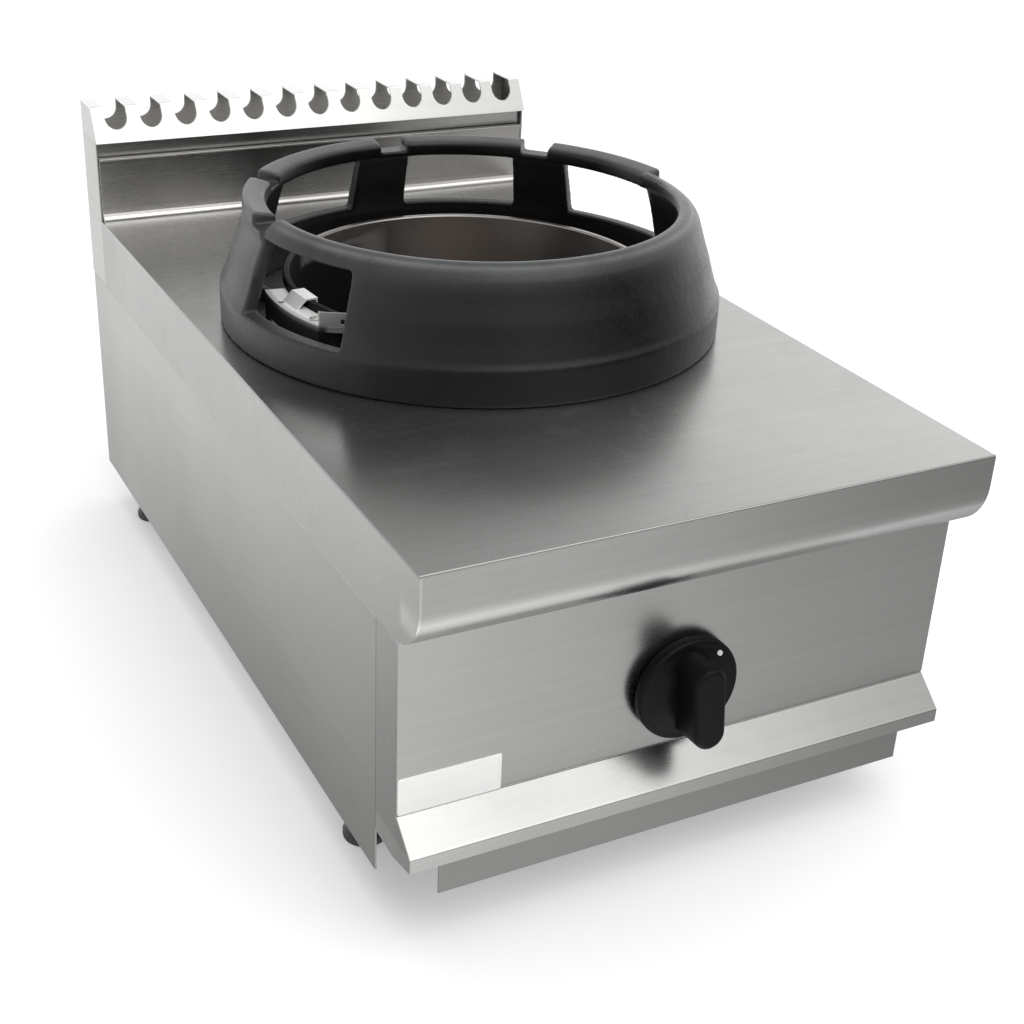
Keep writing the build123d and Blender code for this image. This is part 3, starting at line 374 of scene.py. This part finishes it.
MATS = {
    "worktop": brushed("steel_worktop", (0.46, 0.455, 0.445), 0.27, "X", 0.45, mark=0.05, painted_light=DECK_PAINTED_LIGHT),
    "splashback": brushed("steel_splashback", (0.46, 0.45, 0.435), 0.26, "X", 0.4, painted_light=UPSTAND_PAINTED_LIGHT),
    "burner_collar": spun("steel_collar", (0.42, 0.41, 0.40), 0.30),
    "side_panel_left": brushed("steel_side_left", (0.52, 0.515, 0.50), 0.33, "Y", 0.35, painted_light=SIDES_PAINTED_SHADE),
    "side_panel_right": brushed("steel_side_right", (0.52, 0.515, 0.50), 0.33, "Y", 0.35, painted_light=SIDES_PAINTED_SHADE),
    "base_pan": brushed("steel_base_pan", (0.42, 0.42, 0.41), 0.40, "X", 0.2, tint=0.08),
    "rear_panel": brushed("steel_rear_panel", (0.47, 0.47, 0.46), 0.36, "X", 0.3, tint=0.07),
    "casing_screws": metal("zinc_screws", (0.60, 0.60, 0.58), 0.28),
    "control_panel": brushed("steel_control_panel", (0.45, 0.445, 0.435), 0.28, "X", 0.4, mark=0.04, painted_light=FRONT_PAINTED_LIGHT),
    "badge_plate": brushed("satin_badge_plate", (0.90, 0.90, 0.885), 0.45, "X", 0.1, tint=0.03, solid=0.15),
    "flue_casing": brushed("steel_flue_casing", (0.52, 0.515, 0.50), 0.32, "Y", 0.3, inner=(0.318, 0.322)),
    "flue_crown": brushed("steel_flue_crown", (0.62, 0.615, 0.60), 0.26, "X", 0.35, painted_light=CROWN_PAINTED_LIGHT, inner=(0.3490, 0.3505)),
    "flue_baffle": metal("heat_stained_baffle", (0.30, 0.25, 0.20), 0.45, dark=(0.12, 0.10, 0.12)),
    "wok_ring": cast("cast_ring", (0.0075, 0.0077, 0.0078), 0.36, 1.0, 0.40, painted_light=RING_PAINTED_LIGHT),
    "spill_bowl": spun("steel_bowl", (0.40, 0.375, 0.36), 0.36, stain=(0.31, 0.28, 0.265), painted_shade_band=(0.205, 0.250)),
    "burner_support": brushed("steel_burner_support", (0.42, 0.42, 0.41), 0.40, "X", 0.2),
    "burner_body": cast("cast_burner_body", (0.06, 0.06, 0.06), 0.55, 1.4),
    "burner_head": cast("cast_burner_head", (0.045, 0.045, 0.047), 0.45),
    "burner_cap": metal("brass_cap", (0.21, 0.135, 0.062), 0.36, tint=0.06, grain=170, dark=(0.115, 0.078, 0.05)),
    "burner_bolts": metal("zinc_bolts", (0.60, 0.60, 0.58), 0.30),
    "air_shutter": metal("plated_shutter", (0.58, 0.58, 0.57), 0.32),
    "injector": metal("brass_injector", (0.66, 0.50, 0.22), 0.25),
    "injector_holder": metal("brass_holder", (0.58, 0.43, 0.19), 0.38),
    "tap_bracket": brushed("steel_tap_bracket", (0.45, 0.45, 0.44), 0.38, "X", 0.2),
    "gas_tap": metal("brass_tap", (0.60, 0.46, 0.21), 0.36, grain=90, bump=0.3),
    "tap_spindle": metal("brass_spindle", (0.66, 0.52, 0.25), 0.24),
    "tap_push_rod": metal("brass_push_rod", (0.66, 0.52, 0.25), 0.24),
    "spindle_gasket": plastic("silicone_gasket", (0.03, 0.03, 0.03), 0.6),
    "knob": plastic("knob_plastic", (0.0024, 0.0025, 0.0027), 0.42, spec=0.17),
    "manifold_pipe": metal("galvanised_pipe", (0.45, 0.46, 0.46), 0.42, grain=120, bump=0.25),
    "gas_inlet": metal("brass_inlet", (0.60, 0.46, 0.21), 0.32),
    "burner_feed_pipe": metal("aluminium_feed_pipe", (0.66, 0.66, 0.66), 0.34),
    "pipe_nuts": metal("brass_nuts", (0.62, 0.48, 0.22), 0.28),
    "pilot_bracket": brushed("bright_strip", (0.90, 0.895, 0.88), 0.45, "Z", 0.1, tint=0.04, solid=0.30, painted_light=STRIP_PAINTED_SHADE),
    "pilot_burner": metal("brass_pilot", (0.55, 0.40, 0.19), 0.34, dark=(0.16, 0.11, 0.09)),
    "pilot_tube": metal("aluminium_pilot_tube", (0.66, 0.66, 0.66), 0.34),
    "thermocouple": metal("copper_lead", (0.62, 0.33, 0.22), 0.32),
    "drip_tray": brushed("steel_tray", (0.325, 0.32, 0.312), 0.30, "X", 0.35),
    "tray_runners": brushed("steel_runners", (0.42, 0.42, 0.41), 0.40, "Y", 0.2),
    "foot_front_left": plastic("foot_plastic", (0.022, 0.022, 0.023), 0.48),
    "foot_nuts": metal("zinc_nuts", (0.58, 0.58, 0.56), 0.32),
}
for k in ("foot_front_right", "foot_rear_left", "foot_rear_right"):
    MATS[k] = MATS["foot_front_left"]
for n, o in NODES.items():
    o.data.materials.clear()
    o.data.materials.append(MATS[n])


# ------------------------------------------------------------------ rounded sheet edges on carried-over nodes
def soften(node, width, segments=2, angle=32.0):
    o = NODES[node]
    w = o.modifiers.new("weld", "WELD")
    w.merge_threshold = 2e-6
    b = o.modifiers.new("edges", "BEVEL")
    b.width = width
    b.segments = segments
    b.limit_method = "ANGLE"
    b.angle_limit = radians(angle)
    b.use_clamp_overlap = True
    b.harden_normals = False
    b.miter_outer = "MITER_ARC"
    wn = o.modifiers.new("normals", "WEIGHTED_NORMAL")
    wn.keep_sharp = False
    wn.weight = 80
    return o


for node, width, seg in (("worktop", 0.55 * MM, 3), ("splashback", 0.5 * MM, 3), ("side_panel_left", 0.35 * MM, 2),
                         ("side_panel_right", 0.35 * MM, 2), ("control_panel", 0.5 * MM, 3),
                         ("badge_plate", 0.18 * MM, 2), ("flue_casing", 0.5 * MM, 2), ("flue_crown", 0.6 * MM, 3),
                         ("drip_tray", 0.4 * MM, 2), ("base_pan", 0.35 * MM, 2),
                         ("tray_runners", 0.3 * MM, 2), ("tap_bracket", 0.3 * MM, 2), ("burner_support", 0.3 * MM, 2),
                         ("pilot_bracket", 0.3 * MM, 2)):
    soften(node, width, seg)


def new_object(name, me, body, mat, *nodes, slot=None):
    o = bpy.data.objects.new(name, me)
    SCENE.collection.objects.link(o)
    me.materials.clear()
    me.materials.append(mat)
    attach(o, body)
    if nodes:
        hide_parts(*nodes)
    return o


# ------------------------------------------------------------------ cast ring: rounded, cast-looking mesh
def applied(o):
    dg = bpy.context.evaluated_depsgraph_get()
    me = bpy.data.meshes.new_from_object(o.evaluated_get(dg))
    return me


def make_ring():
    src = NODES["wok_ring"].data.copy()
    tmp = bpy.data.objects.new("ring_tmp", src)
    SCENE.collection.objects.link(tmp)
    w = tmp.modifiers.new("w", "WELD")
    w.merge_threshold = 2e-6
    r = tmp.modifiers.new("r", "REMESH")
    r.mode = "VOXEL"
    r.voxel_size = 0.0012
    s = tmp.modifiers.new("s", "SMOOTH")
    s.factor = 0.5
    s.iterations = 9
    me = applied(tmp)
    bpy.data.objects.remove(tmp)
    for p in me.polygons:
        p.use_smooth = True
    me.name = "cast_ring"
    return new_object("cast_ring", me, "wok_ring", MATS["wok_ring"], "wok_ring")


RING = make_ring()


# ------------------------------------------------------------------ turned, threaded and pressed small parts
def tidy(bm, name, crease=36.0):
    bmesh.ops.remove_doubles(bm, verts=bm.verts, dist=1e-7)
    bmesh.ops.recalc_face_normals(bm, faces=bm.faces)
    me = bpy.data.meshes.new(name)
    bm.to_mesh(me)
    bm.free()
    for p in me.polygons:
        p.use_smooth = True
    me.set_sharp_from_angle(angle=radians(crease))
    return me


def upright(x, y, z=0.0):
    """Place for a body turned about a vertical axis; millimetres in, metres out."""
    return lambda r, a, h: ((x + r * cos(a)) * MM, (y + r * sin(a)) * MM, (z + h) * MM)


def backward(x, y, z):
    """Place for a body turned about an axis that runs towards +Y."""
    return lambda r, a, h: ((x + r * cos(a)) * MM, (y + h) * MM, (z - r * sin(a)) * MM)


def forward(x, y, z):
    """Place for a body turned about an axis that runs towards -Y."""
    return lambda r, a, h: ((x + r * cos(a)) * MM, (y - h) * MM, (z + r * sin(a)) * MM)


def turn(bm, rows, n, place, shape=None, ends=True):
    """Turned skin: rows of (radius, height); shape may change the radius round the axis."""
    loops = []
    for r, h in rows:
        loop = []
        for i in range(n):
            a = 2 * pi * i / n
            loop.append(bm.verts.new(place(shape(r, a, h) if shape else r, a, h)))
        loops.append(loop)
    for p, q in zip(loops, loops[1:]):
        for i in range(n):
            j = (i + 1) % n
            bm.faces.new((p[i], p[j], q[j], q[i]))
    if ends:
        bm.faces.new(loops[0][::-1])
        bm.faces.new(loops[-1])
    return loops


def thread_rows(h0, h1, radius, pitch, per=8):
    k = max(2, int(round((h1 - h0) / pitch * per)))
    return [(radius, h0 + (h1 - h0) * i / k) for i in range(k + 1)]


def thread_shape(h0, h1, pitch, depth):
    """Radius of a V thread that fades out at both ends."""
    def f(r, a, h):
        if h < h0 - 1e-6 or h > h1 + 1e-6:
            return r
        t = ((h - h0) / pitch - a / (2 * pi)) % 1.0
        fade = max(0.0, min(1.0, (h - h0) / pitch, (h1 - h) / pitch))
        return r - depth * fade * min(1.0, 1.15 * (1 - abs(2 * t - 1)))
    return f


def cross_head(bm, place, radius, h0, height, n=32):
    """Pan head with a cross recess; the head sits on height h0."""
    rows = [(radius, h0), (radius, h0 + height * 0.38), (radius * 0.955, h0 + height * 0.66),
            (radius * 0.83, h0 + height * 0.88), (radius * 0.68, h0 + height * 0.97), (radius * 0.60, h0 + height)]
    loops = turn(bm, rows, n, place, ends=False)
    bm.faces.new(loops[0][::-1])
    w, l, top, deep = radius * 0.11, radius * 0.46, h0 + height, h0 + height * 0.25
    outline = [(l, -w), (l, w), (w, w), (w, l), (-w, l), (-w, w), (-l, w), (-l, -w), (-w, -w), (-w, -l), (w, -l), (w, -w)]

    def at(u, v, h):
        return place(math.hypot(u, v), math.atan2(v, u), h)
    upper = [bm.verts.new(at(u, v, top)) for u, v in outline]
    lower = [bm.verts.new(at(u * 0.62, v * 0.62, deep)) for u, v in outline]
    rim = [bm.edges.get((loops[-1][i], loops[-1][(i + 1) % n])) or bm.edges.new((loops[-1][i], loops[-1][(i + 1) % n]))
           for i in range(n)]
    edge = [bm.edges.new((upper[i], upper[(i + 1) % 12])) for i in range(12)]
    bmesh.ops.triangle_fill(bm, use_beauty=True, edges=rim + edge)
    for i in range(12):
        j = (i + 1) % 12
        bm.faces.new((upper[i], upper[j], lower[j], lower[i]))
    bm.faces.new(lower)


def make_casing_screws():
    bm = bmesh.new()
    for z in (60, 130, 205):
        for x in (-188, 188):
            place = backward(x, 352.5 - 2.99, z)
            cross_head(bm, place, 4.5, 0.0, 2.2)
            turn(bm, [(1.2, -9.0), (2.0, -8.2)] + thread_rows(-8.0, -0.6, 2.4, 0.8) + [(2.3, 0.0)], 20, place,
                 thread_shape(-8.0, -0.6, 0.8, 0.42))
    return new_object("rear_panel_screws", tidy(bm, "rear_panel_screws"), "casing", MATS["casing_screws"], "casing_screws")


def make_gas_inlet():
    bm = bmesh.new()
    thread = thread_shape(13.0, 32.0, 1.814, 1.15)

    def shape(r, a, h):
        if h >= 44.0:
            return min(r, 12.99 / cos((a % (pi / 3)) - pi / 6))
        return thread(r, a, h)
    rows = [(6.6, 62.0), (6.6, 12.2), (7.4, 11.5), (9.2, 11.5), (10.3, 12.6)] + thread_rows(13.0, 32.0, 10.48, 1.814) + \
           [(9.9, 32.6), (9.9, 33.5), (11.7, 33.6), (11.7, 43.9), (13.1, 44.0), (15.0, 45.1), (15.0, 60.9), (13.1, 62.0)]
    n = 72
    loops = turn(bm, rows, n, upright(132, 300), lambda r, a, h: r if r < 8 else shape(r, a, h), ends=False)
    for i in range(n):
        j = (i + 1) % n
        bm.faces.new((loops[-1][i], loops[-1][j], loops[0][j], loops[0][i]))
    return new_object("inlet_union", tidy(bm, "inlet_union"), "casing", MATS["gas_inlet"], "gas_inlet")


def make_foot(name, x, y):
    bm = bmesh.new()
    stud = thread_shape(37.0, 57.6, 1.5, 0.85)

    def shape(r, a, h):
        if 1.0 <= h <= 5.2 and r > 14.5:                   # finger grips round the base
            return r - 0.55 * (0.5 - 0.5 * cos(24 * a))
        if 8.5 <= h <= 33.5:                               # six flutes up the column
            return r - 0.7 * max(0.0, cos(6 * a)) ** 2
        if h > 36.5:
            return stud(r, a, h)
        return r
    rows = [(13.6, 0.0), (14.5, 0.0), (15.1, 0.25), (15.5, 1.0), (15.5, 2.4), (15.5, 3.8), (15.5, 5.0), (14.9, 5.9),
            (13.9, 6.9), (13.3, 8.0), (13.15, 9.0), (12.8, 16.0), (12.5, 24.0), (12.25, 33.0), (12.2, 34.2),
            (11.9, 35.2), (11.2, 35.98), (5.0, 36.0)] + thread_rows(37.0, 57.6, 5.0, 1.5, 6) + [(4.9, 58.0), (4.2, 59.0)]
    turn(bm, rows, 96, upright(x, y), shape)
    return new_object("turned_" + name, tidy(bm, name + "_mesh", 30), name, MATS[name], name)


def make_bracket_screws():
    bm = bmesh.new()
    for a in (198.0,):
        cross_head(bm, upright(148.6 * cos(radians(a)), 2 + 148.6 * sin(radians(a)), 308.0), 3.6, 0.02, 1.7, 28)
    return new_object("bracket_screws", tidy(bm, "bracket_screws"), "casing", MATS["casing_screws"], slot="pilot_bracket")


def make_knob_mark():
    """Small pale index dot let into the skirt."""
    bm = bmesh.new()
    turn(bm, [(2.3, -0.5), (2.3, 0.18), (2.0, 0.34), (1.2, 0.40)], 28, forward(MARK[0], MARK[1], MARK[2]))
    return new_object("knob_index", tidy(bm, "knob_index"), "knob", MARK_MAT, slot="knob")


def make_knob():
    """Moulded knob: rolled skirt edge, low dome, long grip bar with rounded shoulders."""
    bm = bmesh.new()
    y0 = 327.1                                             # back of the skirt, measured forwards
    kx, kz = -4.0, 145.0
    rows = [(4.06, 23.0), (4.06, 0.05), (9.0, 0.0), (9.0, 4.6), (32.0, 4.6), (33.6, 0.0), (35.6, 0.0), (36.1, 0.4),
            (36.2, 1.2), (36.2, 4.6), (35.9, 5.9), (35.1, 6.9), (33.8, 7.35), (32.0, 7.45), (30.4, 7.75), (29.6, 8.15),
            (27.0, 8.6), (23.0, 9.5), (20.5, 10.1), (16.0, 10.55), (10.0, 10.7), (1.0, 10.7)]
    turn(bm, rows, 120, forward(kx, -y0, kz))
    # grip bar: stacked slot outlines
    tilt = radians(5.0)

    def outline(hw, hl, n=20):
        pts = []
        for s in (1, -1):
            for i in range(n + 1):
                a = pi * i / n
                pts.append((s * hw * cos(a), s * (hl - hw) + s * hw * sin(a)))
        return [(u * cos(tilt) - v * sin(tilt), u * sin(tilt) + v * cos(tilt)) for u, v in pts]
    levels = [(6.0, 12.6, 31.6), (8.2, 12.1, 31.2), (10.2, 11.75, 30.9), (11.4, 11.55, 30.75), (18.0, 11.25, 30.45),
              (26.0, 10.95, 30.15), (29.4, 10.8, 30.0), (30.7, 10.55, 29.75), (31.7, 10.05, 29.25), (32.4, 9.3, 28.5),
              (32.8, 8.3, 27.5), (32.9, 7.2, 26.4)]
    loops = []
    for h, hw, hl in levels:
        loops.append([bm.verts.new(((kx + u) * MM, (-y0 - h) * MM, (kz + v) * MM)) for u, v in outline(hw, hl)])
    n = len(loops[0])
    for p, q in zip(loops, loops[1:]):
        for i in range(n):
            j = (i + 1) % n
            bm.faces.new((p[i], p[j], q[j], q[i]))
    bm.faces.new(loops[0][::-1])
    bm.faces.new(loops[-1])
    return new_object("moulded_knob", tidy(bm, "moulded_knob", 40), "knob", MATS["knob"], "knob")


def make_badge_line():
    """Hairline border pressed up round the edge of the plate."""
    bm = bmesh.new()
    cx, cz, y = -164.4, 113.6, -324.36

    def loop(hw, hh, r, dy, n=8):
        pts = []
        for k, (sx, sz) in enumerate(((1, 1), (-1, 1), (-1, -1), (1, -1))):
            for i in range(n + 1):
                a = pi / 2 * (k + i / n)
                pts.append(bm.verts.new(((cx + sx * (hw - r) + r * cos(a)) * MM, (y - dy) * MM,
                                         (cz + sz * (hh - r) + r * sin(a)) * MM)))
        return pts
    rows = [loop(32.9, 11.8, 1.3, 0.0), loop(32.8, 11.7, 1.2, 0.14), loop(32.3, 11.2, 0.9, 0.14), loop(32.2, 11.1, 0.8, 0.0)]
    n = len(rows[0])
    for p, q in zip(rows, rows[1:]):
        for i in range(n):
            j = (i + 1) % n
            bm.faces.new((p[i], p[j], q[j], q[i]))
    return new_object("badge_line", tidy(bm, "badge_line"), "casing", MATS["badge_plate"], slot="badge_plate")


MARK = (15.0, -335.0, 168.0)
MARK_MAT = plastic("index_white", (0.70, 0.69, 0.66), 0.45, spec=0.4)
make_casing_screws()
make_gas_inlet()
for side, fx, fy in (("front_left", -174, -214), ("front_right", 174, -214), ("rear_left", -174, 296),
                     ("rear_right", 174, 296)):
    make_foot("foot_" + side, fx, fy)
make_bracket_screws()
make_badge_line()
make_knob()
make_knob_mark()
for node, width in (("foot_nuts", 0.4), ("pipe_nuts", 0.4), ("gas_tap", 0.6), ("injector", 0.3), ("injector_holder", 0.5),
                    ("burner_bolts", 0.3), ("air_shutter", 0.4), ("burner_head", 0.35), ("burner_cap", 0.4),
                    ("burner_body", 0.6), ("flue_baffle", 0.3), ("pilot_burner", 0.2), ("tap_spindle", 0.2),
                    ("tap_push_rod", 0.2), ("thermocouple", 0.15), ("pilot_tube", 0.1), ("burner_collar", 0.4),
                    ("spill_bowl", 0.25)):
    soften(node, width * MM, 2)


# ------------------------------------------------------------------ floor and light
def make_stage():
    me = bpy.data.meshes.new("floor")
    s = 14.0
    me.from_pydata([(-s, -s, 0), (s, -s, 0), (s, s, 0), (-s, s, 0)], [], [(0, 1, 2, 3)])
    fl = bpy.data.objects.new("floor", me)
    SCENE.collection.objects.link(fl)
    m = Mat("floor_paint")
    cloud = m.noise(m.coords((2.5,) * 3), 1.0, 3.0, 0.5)
    m.set(Base_Color=m.mix(m.remap(cloud, 0.3, 0.7, 0, 1), (0.80, 0.80, 0.80), (0.82, 0.82, 0.82)), Roughness=0.8,
          Specular_IOR_Level=0.1, Emission_Color=(1.0, 1.0, 1.0), Emission_Strength=0.25)
    me.materials.append(m.mat)
    fl.visible_glossy = False    # the metal mirrors the studio's soft gradient, not the white sweep


make_stage()


def area(name, at, to, size, power, colour=(1, 1, 1)):
    d = bpy.data.lights.new(name, "AREA")
    d.shape = "RECTANGLE"
    d.size, d.size_y = size
    d.energy = power
    d.color = colour
    o = bpy.data.objects.new(name, d)
    SCENE.collection.objects.link(o)
    o.location = at
    o.rotation_euler = (Vector(to) - Vector(at)).to_track_quat("-Z", "Y").to_euler()
    o.visible_glossy = False
    return o


def make_light():
    """A soft studio: bright band behind, softbox above the front, dimmer to the lower right."""
    world = bpy.data.worlds.new("studio")
    SCENE.world = world
    world.use_nodes = True
    nt = world.node_tree
    nt.nodes.clear()
    out = nt.nodes.new("ShaderNodeOutputWorld")
    bg = nt.nodes.new("ShaderNodeBackground")
    nt.links.new(bg.outputs[0], out.inputs[0])
    tc = nt.nodes.new("ShaderNodeTexCoord")
    sep = nt.nodes.new("ShaderNodeSeparateXYZ")
    nt.links.new(tc.outputs["Generated"], sep.inputs[0])

    def put(sock, v):
        if isinstance(v, bpy.types.NodeSocket):
            nt.links.new(v, sock)
        else:
            sock.default_value = v

    def rng(v, a0, a1, b0, b1):
        n = nt.nodes.new("ShaderNodeMapRange")
        n.interpolation_type = "SMOOTHSTEP"
        for k, x in zip(("Value", "From Min", "From Max", "To Min", "To Max"), (v, a0, a1, b0, b1)):
            put(n.inputs[k], x)
        return n.outputs["Result"]

    def calc(op, x, y):
        n = nt.nodes.new("ShaderNodeMath")
        n.operation = op
        put(n.inputs[0], x)
        put(n.inputs[1], y)
        return n.outputs[0]

    def lobe(d, inner, outer, amp):
        v = nt.nodes.new("ShaderNodeVectorMath")
        v.operation = "DOT_PRODUCT"
        nt.links.new(tc.outputs["Generated"], v.inputs[0])
        v.inputs[1].default_value = Vector(d).normalized()
        return rng(v.outputs["Value"], cos(radians(outer)), cos(radians(inner)), 0.0, amp)

    def ramp(v, stops):
        n = nt.nodes.new("ShaderNodeValToRGB")
        put(n.inputs[0], calc("ADD", calc("MULTIPLY", v, 0.5), 0.5))
        cr = n.color_ramp
        while len(cr.elements) < len(stops):
            cr.elements.new(0.5)
        for e, (z, l) in zip(cr.elements, stops):
            e.position = z * 0.5 + 0.5
            e.color = (l / 2, l / 2, l / 2, 1)
        return calc("MULTIPLY", n.outputs[0], 2.0)

    def blend(a, b, k):
        return calc("ADD", calc("MULTIPLY", a, calc("SUBTRACT", 1.0, k)), calc("MULTIPLY", b, k))

    x, y, z = sep.outputs
    back = ramp(z, [(-1.0, 0.42), (-0.62, 0.42), (-0.56, 0.52), (-0.50, 0.82), (-0.42, 1.14), (-0.30, 1.36), (0.10, 1.42),
                    (0.38, 1.34), (0.50, 0.78), (0.56, 0.54), (0.70, 0.56), (0.90, 0.95), (1.0, 1.00)])
    low = ramp(x, [(-1.0, 0.80), (0.0, 0.95), (0.36, 0.98), (0.48, 0.84), (0.58, 0.56), (0.66, 0.42), (1.0, 0.40)])
    fall = ramp(z, [(-1.0, 1.90), (-0.86, 1.55), (-0.74, 1.00), (-0.62, 1.02), (-0.575, 1.22), (-0.45, 1.32),
                    (-0.25, 1.20), (1.0, 1.0)])
    low = calc("MULTIPLY", low, fall)
    level = ramp(x, [(-1.0, 1.20), (-0.80, 0.70), (-0.58, 0.34), (-0.25, 0.45), (0.08, 0.60), (0.40, 0.38), (0.70, 0.09),
                     (1.0, 0.18)])
    top = ramp(x, [(-1.0, 0.95), (0.0, 1.00), (0.5, 0.90), (1.0, 0.70)])
    front = blend(blend(low, level, rng(z, -0.28, -0.12, 0.0, 1.0)), top, rng(z, 0.16, 0.40, 0.0, 1.0))
    total = blend(front, back, rng(y, -0.35, 0.35, 0.0, 1.0))
    total = calc("ADD", total, lobe((0.20, -0.55, 0.81), 12, 34, 1.9))
    total = calc("ADD", total, lobe((0.85, 0.30, 0.30), 15, 50, 0.5))
    nt.links.new(total, bg.inputs["Strength"])
    area("softbox_top", (0.0, 0.0, 2.6), (0, 0, 0), (3.0, 3.0), 22)


make_light()
SCENE.view_settings.view_transform = "Standard"
SCENE.view_settings.look = "None"
